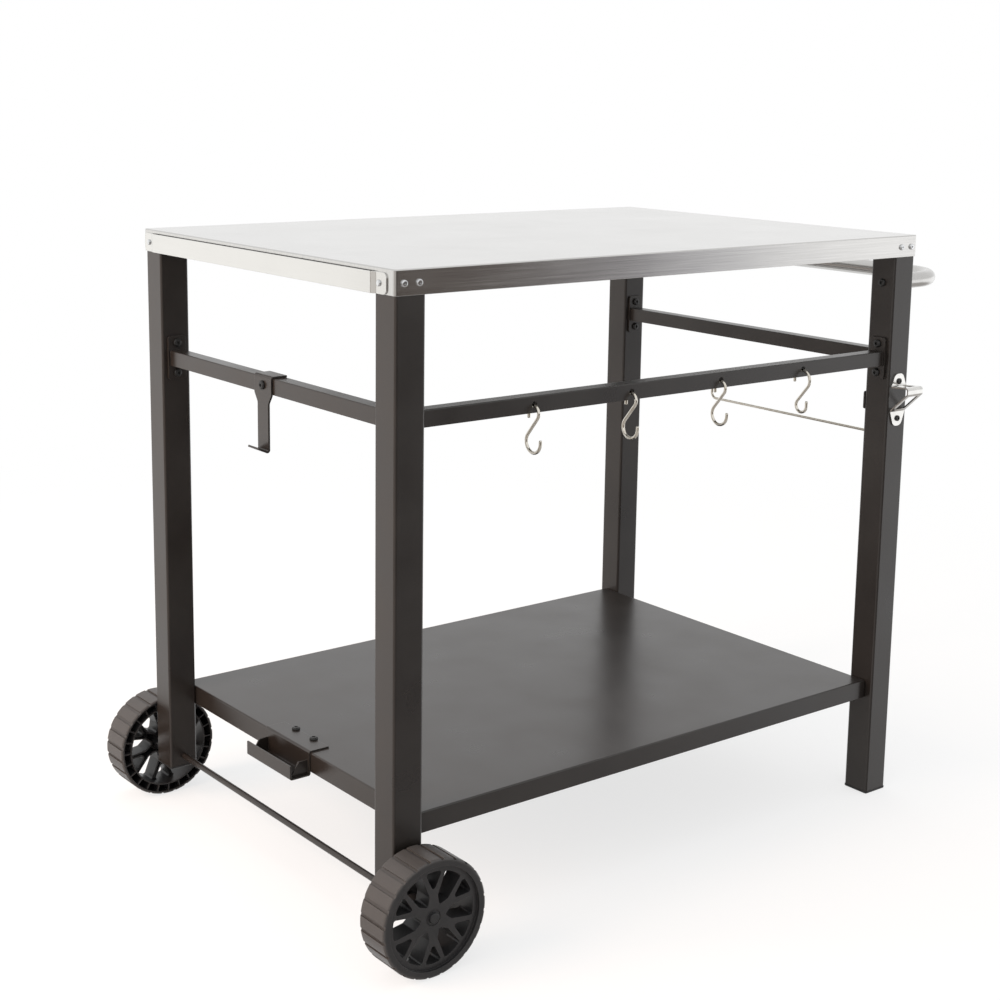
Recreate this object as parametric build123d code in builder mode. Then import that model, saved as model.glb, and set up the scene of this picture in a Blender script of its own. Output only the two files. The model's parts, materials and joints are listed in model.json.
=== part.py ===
from build123d import *

import math
import os

os.makedirs("parts", exist_ok=True)

# A wheeled prep table: stainless worktop, four black tube legs, a low shelf, hooks and fittings.
# The origin is on the floor under the middle of the whole table, +X to the handle, +Y to the rear.

# Worktop: a stainless pan with its four aprons folded down
top_length = 864.0
top_width = 584.0
top_height = 800.0
top_sheet = 1.0
top_corner = 3.0
apron_depth = 29.0

# Stiffening channels under the worktop and under the shelf
stiffener_sheet = 1.2
stiffener_width = 40.0
stiffener_depth = 20.0
stiffener_flange = 14.0
stiffener_bend = 2.0
stiffener_end_gap = 0.4
top_stiffener_pitch = 300.0
shelf_stiffener_pitch = 260.0

# Legs: square tube, just inside the aprons
leg_side = 40.0
leg_wall = 1.5
leg_corner = 3.0
apron_fit = 0.5
axle_to_leg_end = 16.0

# Plastic end caps of the legs: tall feet at the handle end, short plugs at the wheel end
cap_flange = 3.0
cap_overhang = 0.5
cap_edge = 0.8
cap_fit = 0.2
cap_wall = 2.0
foot_insert = 16.0
plug_insert = 7.0

# Rails: channel, open below, welded to end plates that bolt to the legs
rail_drop = 169.0
rail_side = 20.0
rail_wall = 1.5
rail_corner = 1.5
plate_sheet = 3.0
plate_width = 26.0
plate_height = 58.0
plate_corner = 4.0
plate_bolt_pitch = 40.0

# Low shelf: a pan between the legs
shelf_inset = 13.5
shelf_height = 168.0
shelf_sheet = 1.2
shelf_corner = 2.5
shelf_inner_fold = 0.8
shelf_flange = 25.5

# Wheels and axle
wheel_diameter = 142.0
wheel_width = 48.0
tread_wall = 4.0
tread_shoulder = 2.5
lug_count = 24
lug_groove_width = 4.5
lug_groove_depth = 2.0
rim_ring = 55.5
rim_ring_wall = 1.8
rim_rib = 1.8
rim_rib_setback = 1.0
rim_lip = 9.0
face_sheet = 4.0
face_setback = 4.0
hub_radius = 12.0
hub_recess = 2.0
hub_recess_gap = 0.6
spoke_count = 6
spoke_depth = 24.0
spoke_wall = 2.2
petal_start = 15.5
petal_waist_radius = 27.0
petal_waist_width = 16.5
petal_rim_width = 24.5
fork_start = 31.0
fork_rim_width = 24.5
window_corner = 3.0
axle_diameter = 8.0
axle_fit = 0.2
wheel_running_fit = 0.08
wheel_side_play = 0.3
spacer_diameter = 16.0
spacer_length = 6.4
axle_cap_diameter = 13.0
axle_cap_flange = 18.0
axle_cap_flange_depth = 1.4
axle_cap_depth = 5.0
axle_cap_wall = 1.6

# Push handle at the end away from the wheels
handle_diameter = 22.0
handle_wall = 1.5
handle_drop = 65.0
handle_reach = 98.0
handle_bend = 65.0
handle_plug_length = 18.0
handle_plug_fit = 0.1

# Strip riveted on the wheel-end apron, standing off it between its end tabs
strip_sheet = 1.5
strip_gap = 3.0
strip_height = 24.0
strip_top_drop = 5.0
strip_front_inset = 15.0
strip_rear_inset = 4.0
strip_tab = 20.0
strip_joggle = 6.0
strip_bend = 3.0
strip_tab_corner = 6.0
rivet_front_inset = 14.0
rivet_rear_inset = 12.0

# Hooks that hang in the front rail
hook_count = 4
hook_pitch = 152.0
hook_hole = 7.5
hook_wire = 4.0
hook_rest_gap = 0.3
hook_small_radius = 9.0
hook_large_radius = 13.0
hook_centres = 34.2
hook_small_tail = 7.0
hook_large_tail = 4.0

# Gas tank fittings on the wheel-end rail and shelf edge
tank_offset = 4.0
tank_hook_sheet = 2.5
tank_hook_width = 40.0
tank_hook_neck = 25.0
tank_hook_shoulder = 1.0
tank_hook_taper = 11.0
tank_hook_length = 83.0
tank_hook_lip = 15.0
tank_hook_lip_rise = 7.0
tank_hook_bend = 2.5
tank_bracket_sheet = 2.0
tank_bracket_width = 106.0
tank_bracket_flange = 27.0
tank_bracket_depth = 30.0
tank_bracket_drop = 30.5
tank_bracket_lip = 19.0
tank_bracket_bend = 2.0
tank_bracket_cheek_inset = 5.0
tank_bracket_cheek_rise = 19.0
tank_bracket_cheek_flat = 14.0
bracket_bolt_pitch = 43.0
bracket_bolt_inset = 24.5

# Bottle opener on the front leg at the handle end
opener_sheet = 2.0
opener_width = 31.0
opener_ear_tip = 16.0
opener_ear_round = 9.0
opener_drop = 190.0
opener_length = 73.0
opener_shelf_drop = 18.0
opener_shelf_rise = 2.0
opener_reach = 31.0
opener_heel_rise = 21.0
opener_bend = 2.5
opener_nose = 3.5
opener_nose_drop = 9.0
opener_shelf_window = 20.0
opener_shelf_window_start = 6.0
opener_shelf_window_end = 22.0
opener_arm_window = 20.0
opener_arm_window_inset = 3.0
opener_tab_screw = 10.5

# Paper towel rod behind the same leg
towel_wire = 4.0
towel_rod_drop = 47.0
towel_length = 318.0
towel_tip = 26.0
towel_bend = 9.0
towel_plate_sheet = 2.5
towel_plate_height = 25.0
towel_plate_drop = 231.5
towel_screw_pitch = 26.0

# Fasteners
bolt_diameter = 6.0
bolt_head = 11.0
bolt_head_depth = 3.3
bolt_socket = 4.6
bolt_hole = 6.6
bolt_reach = 11.0
insert_diameter = 9.0
insert_collar = 11.2
insert_collar_depth = 2.0
insert_length = 12.0
insert_fit = 0.1
screw_diameter = 4.2
screw_head = 8.0
screw_head_depth = 2.4
screw_socket = 3.2
screw_hole = 4.6
screw_reach = 7.0
top_screw_pitch = 20.0
top_screw_drop = 15.5
rivet_diameter = 4.0
rivet_head = 7.4
rivet_head_depth = 1.8
rivet_hole = 4.3
rivet_reach = 4.0
nut_width = 10.0
nut_depth = 5.0
thread_fit = 0.2
socket_share = 0.55
dome_share = 0.6

# Levels and centre lines that follow from the sizes above
leg_top = top_height - top_sheet
top_fold = top_sheet + apron_fit
shelf_fold = shelf_sheet + shelf_inner_fold
leg_half_x = top_length / 2 - top_sheet - apron_fit - leg_side / 2
leg_half_y = top_width / 2 - top_sheet - apron_fit - leg_side / 2
wheel_out = leg_half_x + wheel_diameter / 2
handle_out = leg_half_x + leg_side / 2 + handle_reach + handle_diameter / 2
top_x = (wheel_out - handle_out) / 2
left_x = top_x - leg_half_x
right_x = top_x + leg_half_x
front_y = -leg_half_y
rear_y = leg_half_y
axle_height = wheel_diameter / 2
wheel_leg_bottom = axle_height - axle_to_leg_end
hub_length = wheel_width - face_setback - hub_recess
span_x = right_x - left_x - leg_side
span_y = rear_y - front_y - leg_side
rail_height = top_height - rail_drop
handle_height = top_height - handle_drop
shelf_width = top_width - 2 * shelf_inset
rail_top = rail_height + rail_side / 2
rail_bottom = rail_height - rail_side / 2
screw_height = top_height - top_screw_drop
shelf_edge_x = left_x + leg_side / 2
tank_hook_bottom = rail_height - tank_hook_length
tank_bracket_floor = shelf_height - tank_bracket_drop
opener_top = top_height - opener_drop
opener_bottom = opener_top - opener_length
opener_shelf = opener_top - opener_shelf_drop
opener_heel = opener_bottom + opener_heel_rise
towel_plate_middle = top_height - towel_plate_drop
towel_height = towel_plate_middle - towel_rod_drop

# Outward directions of the faces that carry fasteners
FRONT = (0, -1, 0)
REAR = (0, 1, 0)
LEFT = (-1, 0, 0)
RIGHT = (1, 0, 0)
UP = (0, 0, 1)
DOWN = (0, 0, -1)


def seat(x, y, z, outward):
    return Plane(origin=(x, y, z), z_dir=outward)


def seats_near(seats, x, y):
    # The seats that belong to the leg standing at x, y
    reach = leg_side
    return [s for s in seats if abs(s.origin.X - x) < reach and abs(s.origin.Y - y) < reach]


# Seats of the worktop screws, on the front and rear aprons
top_screw_seats = [
    seat(x + shift, side * top_width / 2, screw_height, (0, side, 0))
    for x in (left_x, right_x)
    for shift in (-top_screw_pitch / 2, top_screw_pitch / 2)
    for side in (-1, 1)
]

# Ends and height of the strip on the wheel-end apron, and the seats of its rivets
apron_left = top_x - top_length / 2
strip_front = -top_width / 2 + strip_front_inset
strip_rear = top_width / 2 - strip_rear_inset
strip_top = top_height - strip_top_drop
rivet_seats = [
    seat(apron_left - strip_sheet, y, strip_top - strip_height / 2, LEFT)
    for y in (strip_front + rivet_front_inset, strip_rear - rivet_rear_inset)
]

# Start point and direction of each rail, and the seats of its bolts on the end plates
rail_runs = {
    "front": ((left_x + leg_side / 2, front_y, rail_height), RIGHT, span_x),
    "left": ((left_x, front_y + leg_side / 2, rail_height), REAR, span_y),
    "right": ((right_x, front_y + leg_side / 2, rail_height), REAR, span_y),
}
rail_bolt_seats = [
    Plane(
        origin=Vector(*start) + Vector(*along) * distance + Vector(0, 0, lift),
        z_dir=Vector(*along) * facing,
    )
    for start, along, span in rail_runs.values()
    for distance, facing in ((plate_sheet, 1), (span - plate_sheet, -1))
    for lift in (-plate_bolt_pitch / 2, plate_bolt_pitch / 2)
]

# Seats of the shelf bolts, inside its end flanges where these meet the legs
shelf_bolt_y = (leg_half_y - leg_side / 2 + shelf_width / 2) / 2
shelf_bolt_height = shelf_height - shelf_flange / 2
shelf_bolt_seats = [
    seat(x, side * shelf_bolt_y, shelf_bolt_height, outward)
    for x, outward in (
        (left_x + leg_side / 2 + shelf_sheet, RIGHT),
        (right_x - leg_side / 2 - shelf_sheet, LEFT),
    )
    for side in (-1, 1)
]

# Seats of the handle bolts on the inner faces of the legs
handle_bolt_seats = [seat(right_x - leg_side / 2, y, handle_height, LEFT) for y in (front_y, rear_y)]

# Seats of the opener screws, the towel plate screws and the tank fittings' bolts
opener_face = front_y - leg_side / 2
opener_screw_seats = [
    seat(right_x, opener_face - opener_sheet, z, FRONT)
    for z in (opener_top - opener_tab_screw, opener_bottom + opener_tab_screw)
]
towel_face = front_y + leg_side / 2
towel_screw_seats = [
    seat(right_x + shift, towel_face + towel_plate_sheet, towel_plate_middle, REAR)
    for shift in (-towel_screw_pitch / 2, towel_screw_pitch / 2)
]
tank_bolt_seat = seat(left_x - rail_side / 2 - tank_hook_sheet, tank_offset, rail_height, LEFT)
tank_nut_seat = seat(left_x + rail_side / 2, tank_offset, rail_height, RIGHT)
bracket_bolt_seats = [
    seat(shelf_edge_x + bracket_bolt_inset, tank_offset + shift, shelf_height + tank_bracket_sheet, UP)
    for shift in (-bracket_bolt_pitch / 2, bracket_bolt_pitch / 2)
]
bracket_nut_seats = [s.offset(-tank_bracket_sheet - shelf_sheet) for s in bracket_bolt_seats]

# Places along the front rail where the hooks hang
hook_places = [top_x + (i - (hook_count - 1) / 2) * hook_pitch for i in range(hook_count)]
hook_wall_y = front_y - rail_side / 2 + rail_wall / 2
hook_axis_height = rail_height - hook_hole / 2 + hook_wire / 2 + hook_rest_gap
hook_hole_seats = [seat(x, front_y - rail_side / 2, rail_height, FRONT) for x in hook_places]


# Worktop pan, drilled for its screws and for the strip's rivets
with BuildPart() as table_top:
    with BuildSketch(Plane.XY.offset(top_height - apron_depth)):
        with Locations((top_x, 0)):
            RectangleRounded(top_length, top_width, top_corner)
    extrude(amount=apron_depth)
    fillet(table_top.faces().sort_by(Axis.Z)[-1].edges(), top_fold)
    with BuildSketch(Plane.XY.offset(top_height - apron_depth)):
        with Locations((top_x, 0)):
            RectangleRounded(top_length - 2 * top_sheet, top_width - 2 * top_sheet, top_corner - top_sheet)
    extrude(amount=apron_depth - top_sheet, mode=Mode.SUBTRACT)
    fillet(table_top.faces().filter_by(Plane.XY).sort_by(Axis.Z)[-2].edges(), apron_fit)
    with Locations(*top_screw_seats):
        Hole(screw_hole / 2, top_sheet + apron_fit)
    with Locations(*rivet_seats):
        Hole(rivet_hole / 2, strip_sheet + top_sheet + apron_fit)
table_top.part.label = "table_top"
export_step(table_top.part, "parts/table_top.step")


def hat_channel(section_plane, length):
    # A folded channel that hangs by its two flanges from the plane's origin
    half = stiffener_width / 2
    with BuildPart() as channel:
        with BuildSketch(section_plane):
            with BuildLine():
                FilletPolyline(
                    (-half - stiffener_flange, -stiffener_sheet / 2),
                    (-half, -stiffener_sheet / 2),
                    (-half, -stiffener_depth),
                    (half, -stiffener_depth),
                    (half, -stiffener_sheet / 2),
                    (half + stiffener_flange, -stiffener_sheet / 2),
                    radius=stiffener_bend,
                )
            trace(line_width=stiffener_sheet)
        extrude(amount=length / 2, both=True)
    return channel.part


# Channels under the worktop, running from the front apron to the rear one
top_channel_length = top_width - 2 * (top_fold + stiffener_end_gap)
with BuildPart() as top_stiffeners:
    for side in (-1, 1):
        add(
            hat_channel(
                Plane(origin=(top_x + side * top_stiffener_pitch / 2, 0, leg_top), z_dir=FRONT, x_dir=RIGHT),
                top_channel_length,
            )
        )
top_stiffeners.part.label = "top_stiffeners"
export_step(top_stiffeners.part, "parts/top_stiffeners.step")

# Strip on the wheel-end apron: two riveted tabs, and a middle that stands off by a finger-thin gap
strip_x = apron_left - strip_sheet / 2
with BuildPart() as end_strip:
    with BuildSketch(Plane.XY.offset(strip_top - strip_height)):
        with BuildLine():
            FilletPolyline(
                (strip_x, strip_front),
                (strip_x, strip_front + strip_tab),
                (strip_x - strip_gap, strip_front + strip_tab + strip_joggle),
                (strip_x - strip_gap, strip_rear - strip_tab - strip_joggle),
                (strip_x, strip_rear - strip_tab),
                (strip_x, strip_rear),
                radius=strip_bend,
            )
        trace(line_width=strip_sheet)
    extrude(amount=strip_height)
    strip_corners = end_strip.edges().filter_by(Axis.X).group_by(Axis.Y)
    fillet(strip_corners[0] + strip_corners[-1], strip_tab_corner)
    with Locations(*rivet_seats):
        Hole(rivet_hole / 2, strip_sheet)
end_strip.part.label = "end_strip"
export_step(end_strip.part, "parts/end_strip.step")


def make_leg(x, y, bottom, drillings):
    # A square tube up to the underside of the worktop, drilled from the given seats
    inner = leg_side - 2 * leg_wall
    with BuildPart() as leg:
        with BuildSketch(Plane.XY.offset(bottom)):
            with Locations((x, y)):
                RectangleRounded(leg_side, leg_side, leg_corner)
                RectangleRounded(inner, inner, leg_corner / 2, mode=Mode.SUBTRACT)
        extrude(amount=leg_top - bottom)
        for seats, radius, depth in drillings:
            here = seats_near(seats, x, y)
            if here:
                with Locations(*here):
                    Hole(radius, depth)
    return leg


def make_leg_cap(x, y, bottom, insert):
    # A plastic cap: a flange under the tube's end and a hollow plug inside the tube
    flange = leg_side + 2 * cap_overhang
    plug = leg_side - 2 * leg_wall - 2 * cap_fit
    with BuildPart() as cap:
        with BuildSketch(Plane.XY.offset(bottom)):
            with Locations((x, y)):
                RectangleRounded(flange, flange, leg_corner)
        extrude(amount=cap_flange)
        chamfer(cap.faces().sort_by(Axis.Z)[0].edges(), cap_edge)
        with BuildSketch(Plane.XY.offset(bottom + cap_flange)):
            with Locations((x, y)):
                RectangleRounded(plug, plug, leg_corner / 2)
                Rectangle(plug - 2 * cap_wall, plug - 2 * cap_wall, mode=Mode.SUBTRACT)
        extrude(amount=insert)
    return cap


# Axle holes go through both walls of the wheel-end legs, from their outer faces
axle_seats = [seat(left_x, side * (leg_half_y + leg_side / 2), axle_height, (0, side, 0)) for side in (-1, 1)]
leg_drillings = (
    (top_screw_seats, screw_hole / 2, top_sheet + apron_fit + leg_wall),
    (rivet_seats, rivet_hole / 2, strip_sheet + top_sheet + apron_fit + leg_wall),
    (rail_bolt_seats, (insert_diameter + insert_fit) / 2, plate_sheet + leg_wall),
    (shelf_bolt_seats, (insert_diameter + insert_fit) / 2, shelf_sheet + leg_wall),
    (handle_bolt_seats, bolt_hole / 2, leg_side),
    (opener_screw_seats, screw_hole / 2, opener_sheet + leg_wall),
    (towel_screw_seats, screw_hole / 2, towel_plate_sheet + leg_wall),
    (axle_seats, (axle_diameter + axle_fit) / 2, leg_side),
)

# The four legs with their end caps
for side_name, y in (("front", front_y), ("rear", rear_y)):
    wheel_leg = make_leg(left_x, y, wheel_leg_bottom + cap_flange, leg_drillings)
    wheel_leg.part.label = f"leg_{side_name}_left"
    export_step(wheel_leg.part, f"parts/leg_{side_name}_left.step")
    standing_leg = make_leg(right_x, y, cap_flange, leg_drillings)
    standing_leg.part.label = f"leg_{side_name}_right"
    export_step(standing_leg.part, f"parts/leg_{side_name}_right.step")
    leg_plug = make_leg_cap(left_x, y, wheel_leg_bottom, plug_insert)
    leg_plug.part.label = f"leg_plug_{side_name}"
    export_step(leg_plug.part, f"parts/leg_plug_{side_name}.step")
    foot = make_leg_cap(right_x, y, 0, foot_insert)
    foot.part.label = f"foot_{side_name}"
    export_step(foot.part, f"parts/foot_{side_name}.step")


def make_rail(start, along, span, drillings):
    # A channel with its open side down, closed at both ends by a bolted plate
    section_plane = Plane(origin=start, x_dir=Vector(*along).cross(Vector(0, 0, -1)), z_dir=along)
    with BuildPart() as rail:
        with BuildSketch(section_plane.offset(plate_sheet)) as section:
            Rectangle(rail_side, rail_side)
            fillet(section.vertices().group_by(Axis.Y)[-1], rail_corner)
            with Locations((0, -rail_wall)):
                Rectangle(rail_side - 2 * rail_wall, rail_side, mode=Mode.SUBTRACT)
        extrude(amount=span - 2 * plate_sheet)
        for distance in (0, span - plate_sheet):
            with BuildSketch(section_plane.offset(distance)):
                RectangleRounded(plate_width, plate_height, plate_corner)
                with GridLocations(plate_width, plate_bolt_pitch, 1, 2):
                    Circle(bolt_hole / 2, mode=Mode.SUBTRACT)
            extrude(amount=plate_sheet)
        for seats, radius, depth in drillings:
            with Locations(*seats):
                Hole(radius, depth)
    return rail


# The three rails: the front one is drilled for the hooks, the wheel-end one for the tank hook
rail_drillings = {
    "front": ((hook_hole_seats, hook_hole / 2, rail_wall),),
    "left": (((tank_bolt_seat,), bolt_hole / 2, tank_hook_sheet + rail_side),),
    "right": (),
}
for rail_name, (start, along, span) in rail_runs.items():
    rail = make_rail(start, along, span, rail_drillings[rail_name])
    rail.part.label = f"rail_{rail_name}"
    export_step(rail.part, f"parts/rail_{rail_name}.step")

# Low shelf pan, drilled for its own bolts and for the tank bracket
with BuildPart() as bottom_shelf:
    with BuildSketch(Plane.XY.offset(shelf_height - shelf_flange)):
        with Locations((top_x, 0)):
            RectangleRounded(span_x, shelf_width, shelf_corner)
    extrude(amount=shelf_flange)
    fillet(bottom_shelf.faces().sort_by(Axis.Z)[-1].edges(), shelf_fold)
    with BuildSketch(Plane.XY.offset(shelf_height - shelf_flange)):
        with Locations((top_x, 0)):
            RectangleRounded(span_x - 2 * shelf_sheet, shelf_width - 2 * shelf_sheet, shelf_corner - shelf_sheet)
    extrude(amount=shelf_flange - shelf_sheet, mode=Mode.SUBTRACT)
    fillet(bottom_shelf.faces().filter_by(Plane.XY).sort_by(Axis.Z)[-2].edges(), shelf_inner_fold)
    with Locations(*[s.offset(-shelf_sheet) for s in shelf_bolt_seats]):
        Cylinder(bolt_hole / 2, 4 * shelf_sheet, mode=Mode.SUBTRACT)
    with Locations(*bracket_bolt_seats):
        Hole(bolt_hole / 2, tank_bracket_sheet + shelf_sheet)
bottom_shelf.part.label = "bottom_shelf"
export_step(bottom_shelf.part, "parts/bottom_shelf.step")

# Channels under the shelf, running from the wheel end to the handle end
shelf_channel_length = span_x - 2 * (shelf_fold + stiffener_end_gap)
with BuildPart() as shelf_stiffeners:
    for side in (-1, 1):
        add(
            hat_channel(
                Plane(
                    origin=(top_x, side * shelf_stiffener_pitch / 2, shelf_height - shelf_sheet),
                    x_dir=REAR,
                    z_dir=RIGHT,
                ),
                shelf_channel_length,
            )
        )
shelf_stiffeners.part.label = "shelf_stiffeners"
export_step(shelf_stiffeners.part, "parts/shelf_stiffeners.step")


# Places along the axle, measured from a leg's outer face
wheel_start = leg_half_y + leg_side / 2 + spacer_length + wheel_side_play
cap_start = wheel_start + hub_length + wheel_side_play
axle_half = cap_start + axle_cap_depth - axle_cap_wall

# Axle rod through both wheel-end legs
with BuildPart() as axle_rod:
    with BuildSketch(Plane(origin=(left_x, 0, axle_height), z_dir=REAR)):
        Circle(axle_diameter / 2)
    extrude(amount=axle_half, both=True)
axle_rod.part.label = "axle_rod"
export_step(axle_rod.part, "parts/axle_rod.step")

# Spacer tubes between the legs and the hubs
with BuildPart() as axle_spacers:
    for plane in axle_seats:
        with BuildSketch(plane):
            Circle(spacer_diameter / 2)
            Circle((axle_diameter + axle_fit) / 2, mode=Mode.SUBTRACT)
        extrude(amount=spacer_length)
axle_spacers.part.label = "axle_spacers"
export_step(axle_spacers.part, "parts/axle_spacers.step")

# Push-on caps that keep the wheels on the axle
with BuildPart() as axle_caps:
    for outward in (FRONT, REAR):
        cap_plane = Plane(origin=(left_x, 0, axle_height), z_dir=outward).offset(cap_start)
        with BuildSketch(cap_plane):
            Circle(axle_cap_flange / 2)
        extrude(amount=axle_cap_flange_depth)
        with BuildSketch(cap_plane):
            Circle(axle_cap_diameter / 2)
        extrude(amount=axle_cap_depth)
        fillet(axle_caps.faces().sort_by(Axis(cap_plane.origin, outward))[-1].edges(), axle_cap_wall)
        with BuildSketch(cap_plane):
            Circle((axle_diameter + thread_fit) / 2)
        extrude(amount=axle_cap_depth - axle_cap_wall, mode=Mode.SUBTRACT)
axle_caps.part.label = "axle_caps"
export_step(axle_caps.part, "parts/axle_caps.step")


def polar(radius, degrees):
    turn = math.radians(degrees)
    return (radius * math.cos(turn), radius * math.sin(turn))


def half_angle(width, radius):
    # The angle that half a width covers at a radius
    return math.degrees(math.asin(width / 2 / radius))


# Turns from one lug and one spoke to the next
lug_turn = 360 / lug_count
spoke_turn = 360 / spoke_count

# Corner points of the two kinds of window between the forked spokes, about the angle zero
window_reach = rim_ring + window_corner
petal_waist = half_angle(petal_waist_width, petal_waist_radius)
petal_rim = half_angle(petal_rim_width, rim_ring)
fork_rim = half_angle(fork_rim_width, rim_ring)
petal_points = [
    polar(petal_start, 0),
    polar(petal_waist_radius, petal_waist),
    polar(window_reach, petal_rim),
    polar(window_reach, -petal_rim),
    polar(petal_waist_radius, -petal_waist),
]
fork_points = [polar(fork_start, 0), polar(window_reach, fork_rim), polar(window_reach, -fork_rim)]


def window_sketch(points, grow):
    # One window with rounded corners, grown outwards by a wall where it is the outside of a rib
    with BuildSketch() as window:
        Polygon(*points, align=None)
        Circle(rim_ring, mode=Mode.INTERSECT)
        fillet(window.vertices(), window_corner)
        if grow:
            offset(amount=grow)
    return window.sketch


petal_turn = spoke_turn / 2
window_ribs = ((window_sketch(petal_points, spoke_wall), petal_turn), (window_sketch(fork_points, spoke_wall), 0))
window_cuts = ((window_sketch(petal_points, 0), petal_turn), (window_sketch(fork_points, 0), 0))


def make_wheel(outward):
    # A moulded wheel: lugged tread, open cells behind it, forked spokes and a hub on the axle
    plane = Plane(origin=(left_x, 0, axle_height), z_dir=outward).offset(wheel_start)
    radius = wheel_diameter / 2
    face_plane = plane.offset(wheel_width - face_setback - face_sheet)
    with BuildPart() as wheel:
        with BuildSketch(plane):
            Circle(radius)
        extrude(amount=wheel_width)
        fillet(wheel.edges(), tread_shoulder)
        with BuildSketch(plane):
            Circle(radius - tread_wall)
        extrude(amount=wheel_width, mode=Mode.SUBTRACT)
        with BuildSketch(plane):
            with PolarLocations(radius, lug_count, start_angle=lug_turn / 2):
                Rectangle(2 * lug_groove_depth, lug_groove_width)
        extrude(amount=wheel_width, mode=Mode.SUBTRACT)
        with BuildSketch(face_plane):
            Circle(radius - tread_wall)
        extrude(amount=face_sheet)
        with BuildSketch(face_plane.offset(face_sheet)):
            Circle(radius - tread_wall)
            Circle(radius - rim_lip, mode=Mode.SUBTRACT)
        extrude(amount=face_setback)
        with BuildSketch(plane):
            Circle(rim_ring + rim_ring_wall)
            Circle(rim_ring, mode=Mode.SUBTRACT)
        extrude(amount=wheel_width - face_setback)
        with BuildSketch(plane.offset(rim_rib_setback)):
            with PolarLocations((rim_ring + rim_ring_wall + radius - tread_wall) / 2, lug_count):
                Rectangle(radius - tread_wall - rim_ring - rim_rib / 2, rim_rib)
        extrude(amount=wheel_width - face_setback - face_sheet - rim_rib_setback)
        for window, first in window_ribs:
            with BuildSketch(face_plane.offset(face_sheet - spoke_depth)):
                with PolarLocations(0, spoke_count, start_angle=first):
                    add(window)
            extrude(amount=spoke_depth)
        for window, first in window_cuts:
            with BuildSketch(plane):
                with PolarLocations(0, spoke_count, start_angle=first):
                    add(window)
            extrude(amount=wheel_width, mode=Mode.SUBTRACT)
        with BuildSketch(plane):
            Circle(hub_radius)
        extrude(amount=hub_length)
        with BuildSketch(plane.offset(hub_length)):
            Circle(axle_cap_flange / 2 + hub_recess_gap)
        extrude(amount=hub_recess, mode=Mode.SUBTRACT)
        with BuildSketch(plane):
            Circle(axle_diameter / 2 + wheel_running_fit)
        extrude(amount=wheel_width, mode=Mode.SUBTRACT)
    return wheel


for side_name, outward in (("front", FRONT), ("rear", REAR)):
    wheel = make_wheel(outward)
    wheel.part.label = f"wheel_{side_name}"
    export_step(wheel.part, f"parts/wheel_{side_name}.step")


# Push handle: a bent tube between the outer faces of the standing legs
handle_start = right_x + leg_side / 2
with BuildPart() as push_handle:
    with BuildLine(Plane.XY.offset(handle_height)) as handle_path:
        FilletPolyline(
            (handle_start, front_y),
            (handle_start + handle_reach, front_y),
            (handle_start + handle_reach, rear_y),
            (handle_start, rear_y),
            radius=handle_bend,
        )
    with BuildSketch(Plane(origin=(handle_start, front_y, handle_height), z_dir=RIGHT)):
        Circle(handle_diameter / 2)
        Circle(handle_diameter / 2 - handle_wall, mode=Mode.SUBTRACT)
    sweep()
push_handle.part.label = "push_handle"
export_step(push_handle.part, "parts/push_handle.step")

# Threaded plugs in the handle's two ends
with BuildPart() as handle_plugs:
    for y in (front_y, rear_y):
        with BuildSketch(Plane(origin=(handle_start, y, handle_height), z_dir=RIGHT)):
            Circle(handle_diameter / 2 - handle_wall - handle_plug_fit)
            Circle((bolt_diameter + thread_fit) / 2, mode=Mode.SUBTRACT)
        extrude(amount=handle_plug_length)
handle_plugs.part.label = "handle_plugs"
export_step(handle_plugs.part, "parts/handle_plugs.step")


def make_s_hook(x, upper, lower, tail, tip):
    # Bent wire: a tail, an upper loop through the rail's wall, a slanting stem and a lower loop
    lean = math.degrees(math.asin((upper + lower) / hook_centres))
    lower_z = -upper - hook_centres
    plane = Plane(origin=(x, hook_wall_y, hook_axis_height), x_dir=REAR, z_dir=RIGHT)
    with BuildPart() as hook:
        with BuildLine(plane):
            start = Line((upper, -upper - tail), (upper, -upper))
            over = CenterArc((0, -upper), upper, 0, 180 + lean)
            under = CenterArc((0, lower_z), lower, lean, -180 - lean)
            Line(over @ 1, under @ 0)
            Line((-lower, lower_z), (-lower, lower_z + tip))
        with BuildSketch(Plane(origin=start @ 0, z_dir=start % 0)):
            Circle(hook_wire / 2)
        sweep()
    return hook


# The four hooks: the last one hangs the other way up, with its large loop in the rail
for number, x in enumerate(hook_places, start=1):
    if number < hook_count:
        s_hook = make_s_hook(x, hook_small_radius, hook_large_radius, hook_small_tail, hook_large_tail)
    else:
        s_hook = make_s_hook(x, hook_large_radius, hook_small_radius, hook_large_tail, hook_small_tail)
    s_hook.part.label = f"s_hook_{number}"
    export_step(s_hook.part, f"parts/s_hook_{number}.step")


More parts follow.
